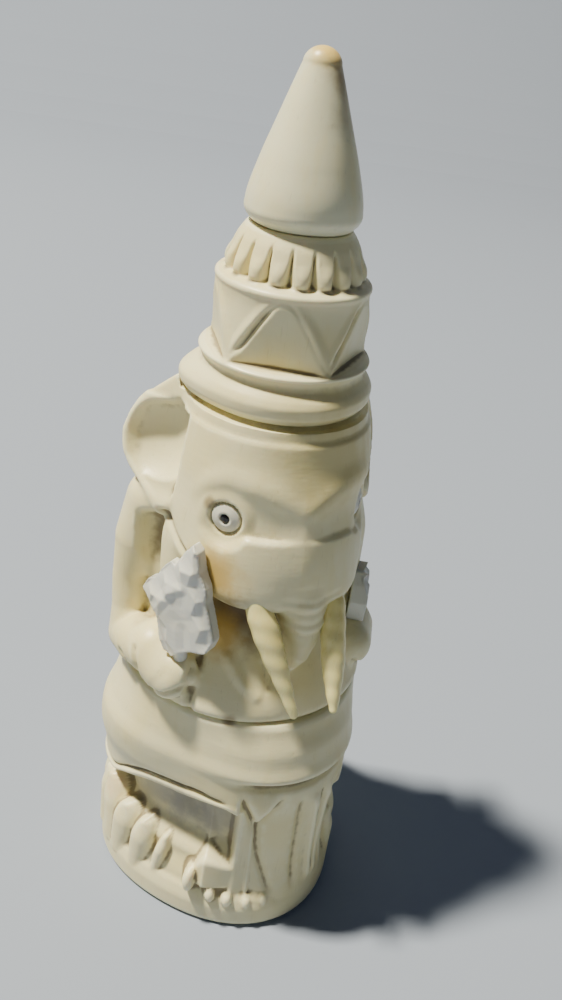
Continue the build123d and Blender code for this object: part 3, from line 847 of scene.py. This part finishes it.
@dataclass
class CrownFinial:
    """The smooth cone on top, with a turned-in lip."""

    steps: int = 160
    cell: float = 0.25
    lip: float = 1.5
    dome: float = 1.5
    dome_radius: float = 1.82

    def build(self, finish: "BoneFinish") -> None:
        """Turn and dress the cone."""
        rise = TOP - FINIAL_SEAM
        top = rise - self.dome
        heights = np.linspace(self.lip, top, 60)
        places = (self.lip, 2.6, 5.8, 9.3, 12.6, top)
        radii = through(places, (5.85, 5.72, 4.85, 3.65, 2.5, self.dome_radius), heights)
        low = [(0.0, 0.0), (4.7, 0.0), (5.15, 0.25), (5.6, 0.75), (5.82, 1.2)]
        arc = np.linspace(0.2, 1.5, 14)
        ends = [(self.dome_radius * math.cos(t), top + self.dome * math.sin(t) ** 1.1) for t in arc]
        profile = [(r, FINIAL_SEAM + z) for r, z in low + list(zip(radii, heights)) + ends] + [(0.0, TOP)]
        bm = bmesh.new()
        turn_profile(bm, resample(profile, self.cell), self.steps)
        obj = new_object("crown_finial_carved", bm)
        work = Carving(obj)
        wave = np.sin(np.radians(work.angle * 3 + work.height * 7))
        wave += 0.6 * np.sin(np.radians(work.angle * 5 - 40))
        work.set_radius(work.radius * (1 + 0.009 * wave * ease(0.5, 3, work.radius)))
        work.mark_wear()
        finish_piece(obj, "crown_finial", finish.make())


# ---- set-in pieces ----
@dataclass
class Tusk:
    """One tusk, turned along its own line."""

    side: Side
    root: Vector
    tip: Vector
    belly: float = 1.52
    tip_radius: float = 0.5

    def build(self, finish: "BoneFinish") -> None:
        """Turn, place and dress the tusk."""
        reach = self.tip - self.root
        length = reach.length
        heights = np.linspace(0.2, length, 60)
        places = (0.2, 1.6, 4.2, 7.5, 10.4, length)
        radii = through(places, (1.15, 1.38, self.belly, 1.32, 0.98, self.tip_radius), heights)
        profile = [(0.0, 0.0), (0.9, 0.0)] + list(zip(radii, heights))
        tip = self.tip_radius
        profile += [(tip * math.cos(t), length + tip * math.sin(t)) for t in np.linspace(0.25, 1.3, 5)]
        bm = bmesh.new()
        turn_profile(bm, profile + [(0.0, length + tip)], 64)
        bm.transform(Matrix.Translation(self.root) @ turned_to(reach))
        obj = new_object(f"tusk_{self.side.word}_polished", bm)
        work = Carving(obj)
        facet = np.array([math.sin(3.1 * x) for x in (work.at @ np.array((0.3, 0.5, 0.8)))])
        work.at += work.normal * (0.035 * facet)[:, None]
        work.look()
        work.mark_wear()
        finish_piece(obj, f"tusk_{self.side.word}", finish.make())


@dataclass
class Eye:
    """One inlaid eye: a pale disc in a dark ring, with a black pupil."""

    side: Side
    radius: float = 1.6
    pupil: float = 0.5
    half_thick: float = 0.7
    turns: ClassVar[dict] = {Side.RIGHT: -41.4, Side.LEFT: 55.5}

    def seat(self) -> tuple:
        """The middle of the disc's face and the way it looks."""
        node = f"eye_disc_{self.side.word}"
        middle = (node_low(node) + node_high(node)) / 2 - AXIS_FOOT
        facing = polar(self.turns[self.side], 1.0, 0.0)
        return middle + facing * self.half_thick, facing

    def _button(self, name: str, profile: list, steps: int) -> bpy.types.Object:
        """Turn a small round piece and set it in the eye's seat."""
        middle, facing = self.seat()
        bm = bmesh.new()
        turn_profile(bm, profile, steps)
        bm.transform(Matrix.Translation(middle) @ turned_to(facing))
        obj = new_object(name, bm)
        Carving(obj).mark_wear(2)
        return obj

    def build(self, disc_finish: "BoneFinish", pupil_finish: "PupilFinish") -> None:
        """Turn, place and dress the disc and the pupil."""
        r, p = self.radius, self.pupil
        disc = [(0.0, -1.3), (r - 0.1, -1.3), (r, -1.2), (r, -0.3), (r - 0.06, -0.16), (r - 0.25, -0.06)]
        disc += [(r * 0.62, 0.04), (r * 0.56, 0.1), (p + 0.2, 0.12), (p + 0.06, 0.05), (p + 0.02, -0.3)]
        disc += [(0.0, -0.3)]
        name = f"eye_disc_{self.side.word}"
        finish_piece(self._button(f"{name}_set", disc, 72), name, disc_finish.make())
        bead = [(0.0, -0.6), (p, -0.6), (p, -0.04), (p - 0.05, 0.03), (p * 0.6, 0.12), (p * 0.25, 0.16)]
        bead += [(0.0, 0.17)]
        name = f"pupil_{self.side.word}"
        finish_piece(self._button(f"{name}_set", bead, 48), name, pupil_finish.make())


@dataclass
class Emblem:
    """The carved fan held in one hand, its edges cut with a knife into zigzag facets."""

    side: Side
    turn: float
    reach: float
    outline: tuple
    facets: tuple
    cuts: tuple
    thick: float = 2.1
    grain: float = 0.12

    def matrix(self) -> Matrix:
        """The fan's plane: across, up and out, with heights kept as they are."""
        turn = math.radians(self.turn) * self.side.value
        out = Vector((math.sin(turn), -math.cos(turn), 0))
        across = Vector((math.cos(turn), math.sin(turn), 0))
        return plane(across, Vector((0, 0, 1)), out, out * self.reach)

    @staticmethod
    def _beside(local: np.ndarray, start: tuple, end: tuple) -> tuple:
        """How far along a line in the fan's plane each point is, and how far from it."""
        du, dv = end[0] - start[0], end[1] - start[1]
        share = ((local[:, 0] - start[0]) * du + (local[:, 1] - start[1]) * dv) / (du * du + dv * dv)
        share = np.clip(share, 0, 1)
        return share, np.hypot(local[:, 0] - start[0] - share * du, local[:, 1] - start[1] - share * dv)

    def build(self, finish: "BoneFinish") -> None:
        """Cut, place and dress the fan and its stem."""
        clay = Clay()
        place = self.matrix()
        clay.slab(list(self.outline), self.thick, place @ Matrix.Translation((0, 0, -self.thick / 2)))
        foot = min(self.outline, key=lambda corner: corner[1])
        clay.limb([
            (place @ Vector((foot[0] + 0.3, foot[1] - 1.6, -self.thick / 2 - 0.6)), 0.8),
            (place @ Vector((foot[0] + 0.6, foot[1] + 1.5, -self.thick / 2)), 0.8),
        ])
        obj = clay.fuse(f"emblem_{self.side.word}_carved", self.grain, 2)
        work = Carving(obj)
        local = work.seen_in(place)
        front = ease(-1.0, -0.3, local[:, 2])
        depth = np.zeros(len(local))
        for start, end, teeth, wide, deep in self.facets:
            share, gap = self._beside(local, start, end)
            zigzag = np.abs((share * teeth) % 1.0 * 2 - 1)
            width = wide * (0.55 + 0.75 * zigzag)
            depth = np.maximum(depth, deep * np.clip(1 - gap / width, 0, 1))
        for start, end, wide, deep in self.cuts:
            _, gap = self._beside(local, start, end)
            depth += deep * np.clip(1 - gap / wide, 0, 1)
        work.at -= np.array(place.to_3x3().col[2]) * (depth * front)[:, None]
        work.look()
        work.soften(2, 0.5)
        work.mark_wear(4)
        finish_piece(obj, f"emblem_{self.side.word}", finish.make())


RIGHT_FAN = (
    (-5.5, 45.4), (-4.7, 46.9), (-3.7, 47.7), (-2.6, 49.6), (-1.9, 50.4), (-1.3, 50.1), (-0.2, 52.3),
    (0.7, 53.5), (1.5, 52.8), (2.0, 50.6), (2.9, 48.9), (3.1, 47.3), (3.7, 45.7), (4.5, 43.1),
    (4.0, 41.6), (2.2, 41.0),
    (0.7, 40.0), (-0.4, 38.9), (-1.5, 39.3), (-2.4, 41.2), (-3.0, 43.4), (-4.1, 44.7),
)
RIGHT_FACETS = (
    ((-5.5, 45.4), (0.7, 53.5), 3.5, 2.3, 0.9),
    ((1.7, 52.4), (4.5, 43.1), 3.0, 1.4, 0.7),
    ((-0.9, 39.3), (-3.6, 44.6), 2.0, 1.0, 0.4),
)
RIGHT_CUTS = (
    ((-3.2, 43.8), (-1.2, 47.2), 0.9, -0.2), ((-1.2, 47.2), (0.3, 48.2), 0.8, -0.16),
    ((0.9, 49.2), (0.5, 46.2), 1.3, 0.1), ((-0.1, 44.0), (1.8, 45.0), 1.3, 0.1),
    ((1.0, 43.2), (1.3, 41.0), 1.0, 0.16),
)
LEFT_FAN = (
    (-1.6, 39.6), (0.6, 39.2), (2.2, 40.6), (2.9, 43.0), (2.4, 45.2), (1.2, 46.2), (0.2, 45.4), (-1.2, 46.0),
    (-2.0, 44.6), (-2.6, 42.6),
)
LEFT_FACETS = (
    ((-1.8, 45.4), (2.6, 45.4), 3.0, 1.5, 0.8),
    ((2.9, 44.0), (1.4, 40.0), 2.0, 1.0, 0.5),
)
LEFT_CUTS = (((-1.2, 41.2), (0.6, 44.2), 0.8, 0.25),)


# ---- finishes ----
class Paint:
    """A short way to write down the nodes of one material or one group."""

    def __init__(self, tree: bpy.types.NodeTree) -> None:
        """Work in a node tree."""
        self.tree = tree

    def node(self, kind: str, **settings: object) -> bpy.types.Node:
        """Add a node and set its properties."""
        node = self.tree.nodes.new(kind)
        for name, value in settings.items():
            setattr(node, name, value)
        return node

    def feed(self, target: bpy.types.NodeSocket, source: object) -> None:
        """Link a socket to another, or set it to a constant."""
        if isinstance(source, bpy.types.NodeSocket):
            self.tree.links.new(source, target)
        else:
            target.default_value = source

    def fill(self, node: bpy.types.Node, sources: dict) -> None:
        """Feed several inputs of a node, by name or by place."""
        for name, source in sources.items():
            self.feed(node.inputs[name], source)

    def noise(self, vector: object, scale: float, detail: float = 3.0, rough: float = 0.55) -> object:
        """A noise value."""
        node = self.node("ShaderNodeTexNoise")
        self.fill(node, {"Vector": vector, "Scale": scale, "Detail": detail, "Roughness": rough})
        return node.outputs["Fac"]

    def stretch(self, vector: object, scale: tuple) -> bpy.types.NodeSocket:
        """Scale a vector."""
        node = self.node("ShaderNodeMapping")
        self.fill(node, {"Vector": vector, "Scale": scale})
        return node.outputs["Vector"]

    def ramp(self, value: object, low: float, high: float, start: float = 0.0, end: float = 1.0) -> object:
        """Take a value smoothly from one range to another."""
        node = self.node("ShaderNodeMapRange", interpolation_type="SMOOTHSTEP")
        self.fill(node, {"Value": value, "From Min": low, "From Max": high, "To Min": start, "To Max": end})
        return node.outputs["Result"]

    def step(self, kind: str, first: object, second: object, clamp: bool = False) -> bpy.types.NodeSocket:
        """One step of arithmetic."""
        node = self.node("ShaderNodeMath", operation=kind, use_clamp=clamp)
        self.fill(node, {0: first, 1: second})
        return node.outputs["Value"]

    def add(self, first: object, second: object) -> bpy.types.NodeSocket:
        """Add two values."""
        return self.step("ADD", first, second)

    def times(self, first: object, second: object) -> bpy.types.NodeSocket:
        """Multiply two values."""
        return self.step("MULTIPLY", first, second)

    def mix(self, share: object, first: object, second: object) -> bpy.types.NodeSocket:
        """Mix two colours."""
        node = self.node("ShaderNodeMix", data_type="RGBA")
        self.fill(node, {0: share, 6: first, 7: second})
        return node.outputs[2]

    def bump(self, height: object, strength: float, distance: float) -> bpy.types.NodeSocket:
        """Turn a height into a bumped normal."""
        node = self.node("ShaderNodeBump")
        self.fill(node, {"Strength": strength, "Distance": distance, "Height": height})
        return node.outputs["Normal"]


COLOUR, VALUE, VECTOR = "NodeSocketColor", "NodeSocketFloat", "NodeSocketVector"


def group(name: str, inputs: tuple, outputs: tuple, draw: Callable) -> bpy.types.NodeTree:
    """Find a node group, or build it.

    Args:
        name: the group's name.
        inputs: (name, kind, value) of each input.
        outputs: (name, kind) of each output.
        draw: takes the painter and the group's inputs, and returns a source for each output.

    Returns:
        The group.
    """
    tree = bpy.data.node_groups.get(name)
    if tree:
        return tree
    tree = bpy.data.node_groups.new(name, "ShaderNodeTree")
    for label, kind, value in inputs:
        tree.interface.new_socket(label, in_out="INPUT", socket_type=kind).default_value = value
    for label, kind in outputs:
        tree.interface.new_socket(label, in_out="OUTPUT", socket_type=kind)
    paint = Paint(tree)
    into, out = paint.node("NodeGroupInput"), paint.node("NodeGroupOutput")
    paint.fill(out, draw(paint, into.outputs))
    return tree


def draw_bone(paint: Paint, given: object) -> dict:
    """Marrow-warm clouds, long fine pores, dirt in cuts and pale edges."""
    where = given["Vector"]
    cloud = paint.noise(where, 95.0, 3.0)
    speck = paint.noise(where, 900.0, 2.0)
    pores = paint.noise(paint.stretch(where, (1.0, 1.0, 0.09)), 2600.0, 2.0, 0.6)
    grain = paint.noise(paint.stretch(where, (1.0, 1.0, 0.12)), 800.0, 3.0)
    scratch = paint.noise(paint.stretch(where, (0.25, 0.25, 1.0)), 1700.0, 2.0)
    patch = paint.times(paint.ramp(cloud, 0.44, 0.66), given["Cloud"])
    colour = paint.mix(patch, given["Bone"], given["Warm"])
    streak = paint.times(paint.ramp(grain, 0.50, 0.72), 0.22)
    colour = paint.mix(streak, colour, given["Warm"])
    lines = paint.times(paint.ramp(pores, 0.60, 0.78), 0.1)
    colour = paint.mix(lines, colour, given["Dirt"])
    uneven = paint.add(given["Wear"], paint.ramp(speck, 0.3, 0.7, -0.05, 0.05))
    hollow = paint.times(paint.ramp(uneven, 0.56, 0.86), given["Dirt Amount"])
    colour = paint.mix(hollow, colour, given["Dirt"])
    worn = paint.ramp(uneven, 0.44, 0.26)
    colour = paint.mix(paint.times(worn, 0.7), colour, given["Edge"])
    rough = paint.add(given["Gloss"], paint.ramp(grain, 0.3, 0.7, -0.05, 0.07))
    rough = paint.add(rough, paint.times(hollow, 0.3))
    rough = paint.step("SUBTRACT", rough, paint.times(worn, 0.07), True)
    height = paint.add(paint.times(scratch, 0.35), paint.times(grain, 0.4))
    height = paint.step("SUBTRACT", height, paint.times(lines, 2.0))
    height = paint.add(height, paint.times(cloud, 1.2))
    return {"Base Color": colour, "Roughness": rough, "Bump Height": paint.times(height, given["Relief"])}


def bone_group() -> bpy.types.NodeTree:
    """The skin of carved bone."""
    inputs = (
        ("Vector", VECTOR, (0, 0, 0)),
        ("Wear", VALUE, 0.5),
        ("Bone", COLOUR, (0.8, 0.75, 0.6, 1)),
        ("Warm", COLOUR, (0.7, 0.6, 0.35, 1)),
        ("Dirt", COLOUR, (0.2, 0.13, 0.06, 1)),
        ("Edge", COLOUR, (0.9, 0.87, 0.72, 1)),
        ("Cloud", VALUE, 0.5),
        ("Dirt Amount", VALUE, 0.7),
        ("Gloss", VALUE, 0.4),
        ("Relief", VALUE, 1.0),
    )
    outputs = (("Base Color", COLOUR), ("Roughness", VALUE), ("Bump Height", VALUE))
    return group("Carved bone", inputs, outputs, draw_bone)


def draw_stain(paint: Paint, given: object) -> dict:
    """A soft ragged spot of colour."""
    gap = paint.node("ShaderNodeVectorMath", operation="DISTANCE")
    paint.fill(gap, {0: given["Vector"], 1: given["Place"]})
    ragged = paint.noise(given["Vector"], 420.0, 3.0, 0.6)
    near = paint.step("DIVIDE", gap.outputs["Value"], given["Reach"])
    near = paint.add(near, paint.ramp(ragged, 0.3, 0.7, -0.12, 0.12))
    share = paint.times(paint.ramp(near, 1.0, 0.25), given["Amount"])
    return {"Base Color": paint.mix(share, given["Colour"], given["Stain"])}


def stain_group() -> bpy.types.NodeTree:
    """A soft-edged spot of colour round one place, used for real stained spots and for patches of painted
    shade and painted warm light.
    """
    inputs = (
        ("Vector", VECTOR, (0, 0, 0)),
        ("Colour", COLOUR, (0.8, 0.75, 0.6, 1)),
        ("Stain", COLOUR, (0.6, 0.4, 0.1, 1)),
        ("Place", VECTOR, (0, 0, 0)),
        ("Reach", VALUE, 0.004),
        ("Amount", VALUE, 0.6),
    )
    return group("Stain", inputs, (("Base Color", COLOUR),), draw_stain)


def blank_material(title: str) -> tuple:
    """Start a material, and give it with its painter and its shader."""
    material = bpy.data.materials.new(title)
    material.use_nodes = True
    return material, Paint(material.node_tree), material.node_tree.nodes["Principled BSDF"]


@dataclass(frozen=True)
class Stain:
    """A spot of colour at a place, in millimetres from the crown's axis: a real stained spot, or a patch of
    painted shade or painted warm light.
    """

    place: Vector
    reach: float
    amount: float
    colour: tuple = (0.62, 0.42, 0.10)


@dataclass(frozen=True)
class BoneFinish:
    """Carved bone: warm, a little translucent, darker in its cuts."""

    name: str
    bone: tuple = (0.81, 0.75, 0.46)
    warm: tuple = (0.78, 0.68, 0.33)
    dirt: tuple = (0.16, 0.105, 0.05)
    edge: tuple = (0.90, 0.86, 0.58)
    cloud: float = 0.55
    dirt_amount: float = 0.75
    gloss: float = 0.42
    relief: float = 1.0
    carved: bool = True
    stains: tuple = ()

    def make(self) -> bpy.types.Material:
        """Build the material, or hand back the one already built."""
        title = f"{self.name}_finish"
        found = bpy.data.materials.get(title)
        if found:
            return found
        material, paint, shader = blank_material(title)
        where = paint.node("ShaderNodeTexCoord").outputs["Object"]
        wear = paint.node("ShaderNodeAttribute", attribute_name="wear").outputs["Fac"] if self.carved else 0.5
        skin = paint.node("ShaderNodeGroup", node_tree=bone_group())
        colours = {"Bone": self.bone, "Warm": self.warm, "Dirt": self.dirt, "Edge": self.edge}
        paint.fill(skin, {name: (*value, 1.0) for name, value in colours.items()})
        paint.fill(skin, {"Vector": where, "Wear": wear, "Cloud": self.cloud})
        paint.fill(skin, {"Dirt Amount": self.dirt_amount, "Gloss": self.gloss, "Relief": self.relief})
        colour = skin.outputs["Base Color"]
        # Lay each spot over the bone colour: real stained spots, and patches of painted shade and painted
        # warm light.
        for stain_or_light_patch in self.stains:
            spot = paint.node("ShaderNodeGroup", node_tree=stain_group())
            place = tuple((stain_or_light_patch.place + AXIS_FOOT) * MM)
            paint.fill(spot, {"Vector": where, "Colour": colour, "Stain": (*stain_or_light_patch.colour, 1.0)})
            paint.fill(spot, {"Place": place, "Reach": stain_or_light_patch.reach * MM, "Amount": stain_or_light_patch.amount})
            colour = spot.outputs["Base Color"]
        bumped = paint.bump(skin.outputs["Bump Height"], 0.55, 0.00012)
        paint.fill(shader, {"Base Color": colour, "Roughness": skin.outputs["Roughness"], "Normal": bumped})
        paint.fill(shader, {"IOR": 1.52, "Subsurface Weight": 0.22, "Subsurface Scale": 0.0009})
        paint.fill(shader, {"Subsurface Radius": (1.0, 0.62, 0.36)})
        return material


@dataclass(frozen=True)
class PupilFinish:
    """Black glass-like inlay, a little dusty."""

    name: str = "pupil_black"

    def make(self) -> bpy.types.Material:
        """Build the material, or hand back the one already built."""
        title = f"{self.name}_finish"
        found = bpy.data.materials.get(title)
        if found:
            return found
        material, paint, shader = blank_material(title)
        where = paint.node("ShaderNodeTexCoord").outputs["Object"]
        dust = paint.ramp(paint.noise(where, 2400.0, 3.0), 0.5, 0.75)
        colour = paint.mix(paint.times(dust, 0.35), (0.006, 0.006, 0.007, 1), (0.07, 0.06, 0.05, 1))
        bumped = paint.bump(paint.noise(where, 1800.0, 2.0), 0.3, 0.00004)
        paint.fill(shader, {"Base Color": colour, "Roughness": paint.ramp(dust, 0.0, 1.0, 0.16, 0.42)})
        paint.fill(shader, {"Normal": bumped})
        return material


def dress_node(node: str, finish: "BoneFinish") -> None:
    """Give a carried-over frame node its finish."""
    for obj in [o for o in bpy.data.objects if o.type == "MESH" and o.name.split(".")[0] == node]:
        obj.data.materials.clear()
        obj.data.materials.append(finish.make())
        LOG.info("%s keeps its frame shape", obj.name)


# ---- the studio ----
@dataclass
class Studio:
    """A pale floor, soft lights and the camera."""

    eye: Vector = field(default_factory=lambda: polar(-21.5, 94.6, 105.0))
    heading: float = -22.65
    pitch: float = 28.7
    roll: float = 8.2
    lens: float = 34.2
    floor_size: float = 2.4
    floor_flat: float = 0.55
    floor_bend: float = 0.5

    def build(self) -> None:
        """Set up the floor, lights and camera."""
        self._camera()
        self._floor()
        self._light("key", (-0.61, 0.20, 1.40), 0.12, 66.0, (1.0, 0.92, 0.72))
        self._light("fill", (0.2, -0.8, 0.45), 0.5, 0.2, (0.72, 0.84, 1.0))
        world = bpy.data.worlds.new("studio")
        world.use_nodes = True
        sky = world.node_tree.nodes["Background"]
        Paint(world.node_tree).fill(sky, {"Color": (0.55, 0.68, 1.0, 1.0), "Strength": 0.06})
        bpy.context.scene.world = world

    def _camera(self) -> None:
        """Place the camera close to the figure, looking down at it."""
        data = bpy.data.cameras.new("camera")
        data.lens = self.lens
        data.sensor_width = 36.0
        data.clip_start = 0.005
        camera = bpy.data.objects.new("camera", data)
        turn = Matrix.Rotation(math.radians(self.heading), 4, "Z")
        turn = turn @ Matrix.Rotation(math.radians(90 - self.pitch), 4, "X")
        turn = turn @ Matrix.Rotation(math.radians(self.roll), 4, "Z")
        place = (self.eye + AXIS_FOOT) * MM
        camera.matrix_world = Matrix.Translation(place) @ turn
        bpy.context.scene.collection.objects.link(camera)
        bpy.context.scene.camera = camera

    def _light(self, name: str, place: tuple, size: float, power: float, colour: tuple) -> None:
        """Add one square soft light that looks at the figure."""
        data = bpy.data.lights.new(name, "AREA")
        data.size = size
        data.energy = power
        data.color = colour
        lamp = bpy.data.objects.new(name, data)
        aim = Vector((0, 0, 0.05)) - Vector(place)
        lamp.matrix_world = Matrix.Translation(place) @ aim.to_track_quat("-Z", "Y").to_matrix().to_4x4()
        bpy.context.scene.collection.objects.link(lamp)

    def _floor(self) -> None:
        """Lay a pale floor that curves up behind the figure into a plain backdrop."""
        bm = bmesh.new()
        bmesh.ops.create_grid(bm, x_segments=4, y_segments=90, size=self.floor_size)
        for vert in bm.verts:
            past = max(0.0, vert.co.y - self.floor_flat)
            bend = min(past / self.floor_bend, math.pi / 2)
            vert.co.y += self.floor_bend * math.sin(bend) - past
            vert.co.z = self.floor_bend * (1 - math.cos(bend)) + past - self.floor_bend * bend
        bmesh.ops.rotate(bm, verts=bm.verts, matrix=Matrix.Rotation(math.radians(self.heading), 3, "Z"))
        floor = new_object("floor", bm)
        material, paint, shader = blank_material("floor_pale")
        paint.fill(shader, {"Base Color": (0.27, 0.31, 0.40, 1.0), "Roughness": 0.9})
        floor.data.materials.append(material)


def main() -> None:
    """Build the figure piece by piece, then the studio."""
    logging.basicConfig(level=logging.INFO, format="%(name)s %(message)s")
    ochre = (0.66, 0.43, 0.09)
    brown = (0.20, 0.12, 0.04)
    # Grey for painted shade in the recess under the robe's hem.
    painted_hem_shade = (0.27, 0.25, 0.22)
    body = BoneFinish(
        "bone_body",
        stains=(
            Stain(polar(-40, 12.0, 49.6), 4.6, 0.85, ochre),
            Stain(polar(14, 10.4, 63.2), 8.5, 0.6, (0.60, 0.49, 0.17)),
            # Dark brown under the jaw: partly a real brown mark, partly painted shadow of the jaw and tusk
            # falling on the chest.
            Stain(polar(-27, 9.4, 44.3), 6.4, 0.95, (0.15, 0.09, 0.03)),
            # Ochre on the chest beside the fan: partly ochre staining, partly painted warm light bounced
            # between the fan and the head.
            Stain(polar(-37, 10.9, 41.2), 3.8, 0.75, ochre),
            # Brown in the gap between the right arm and the torso: partly a brown mark, partly painted shade
            # inside the gap.
            Stain(polar(-80, 12.6, 37.6), 3.2, 0.85, brown),
            Stain(polar(-24, 14.2, 32.2), 1.3, 0.7, brown),
            Stain(polar(-49, 12.0, 57.4), 1.2, 0.7, brown),
            Stain(polar(-90, 15.6, 12.0), 3.0, 0.4, (0.75, 0.5, 0.25)),
            # Painted shade: three grey patches darken the recess under the hem, where the hem's overhang
            # casts shadow.
            Stain(polar(-66, 12.6, 15.0), 5.6, 0.6, painted_hem_shade),
            Stain(polar(-44, 12.4, 16.0), 6.0, 0.75, painted_hem_shade),
            Stain(polar(-24, 12.2, 15.4), 4.6, 0.6, painted_hem_shade),
        ),
    )
    polished = BoneFinish(
        "bone_polished",
        bone=(0.77, 0.75, 0.53),
        cloud=0.35,
        gloss=0.33,
        relief=0.5,
        stains=(
            Stain(polar(10, 0.4, 99.6), 2.4, 0.85, (0.72, 0.50, 0.10)),
            Stain(polar(75, 1.6, 97.4), 3.0, 0.8, (0.30, 0.20, 0.09)),
            Stain(polar(60, 2.4, 93.8), 3.4, 0.45, (0.32, 0.23, 0.12)),
        ),
    )
    ivory = BoneFinish(
        "bone_tusk",
        bone=(0.90, 0.81, 0.36),
        warm=(0.86, 0.70, 0.24),
        edge=(0.95, 0.89, 0.52),
        gloss=0.28,
        relief=0.4,
    )
    white = BoneFinish(
        "bone_white",
        bone=(0.66, 0.67, 0.62),
        warm=(0.66, 0.63, 0.48),
        edge=(0.80, 0.79, 0.62),
        dirt_amount=0.4,
    )
    inner = BoneFinish("bone_inner", bone=(0.66, 0.58, 0.40), cloud=0.7, gloss=0.6, carved=False)
    LowerBlock().build(body)
    UpperBlock().build(body)
    CrownDrum().build(body)
    CrownFinial().build(polished)
    Tusk(Side.RIGHT, Vector((-4.3, -11.3, 48.4)), Vector((0.2, -16.55, 35.45))).build(ivory)
    Tusk(Side.LEFT, Vector((5.1, -10.9, 47.4)), Vector((4.9, -16.5, 35.5)), 1.4).build(ivory)
    for side in Side:
        Eye(side).build(white, PupilFinish())
    Emblem(Side.RIGHT, 52.0, 15.0, RIGHT_FAN, RIGHT_FACETS, RIGHT_CUTS).build(white)
    Emblem(Side.LEFT, 66.0, 13.6, LEFT_FAN, LEFT_FACETS, LEFT_CUTS).build(white)
    for node in ("waist_dowel", "crown_dowel", "finial_pin", "base_plug"):
        dress_node(node, inner)
    Studio().build()


if __name__ == "__main__":
    main()
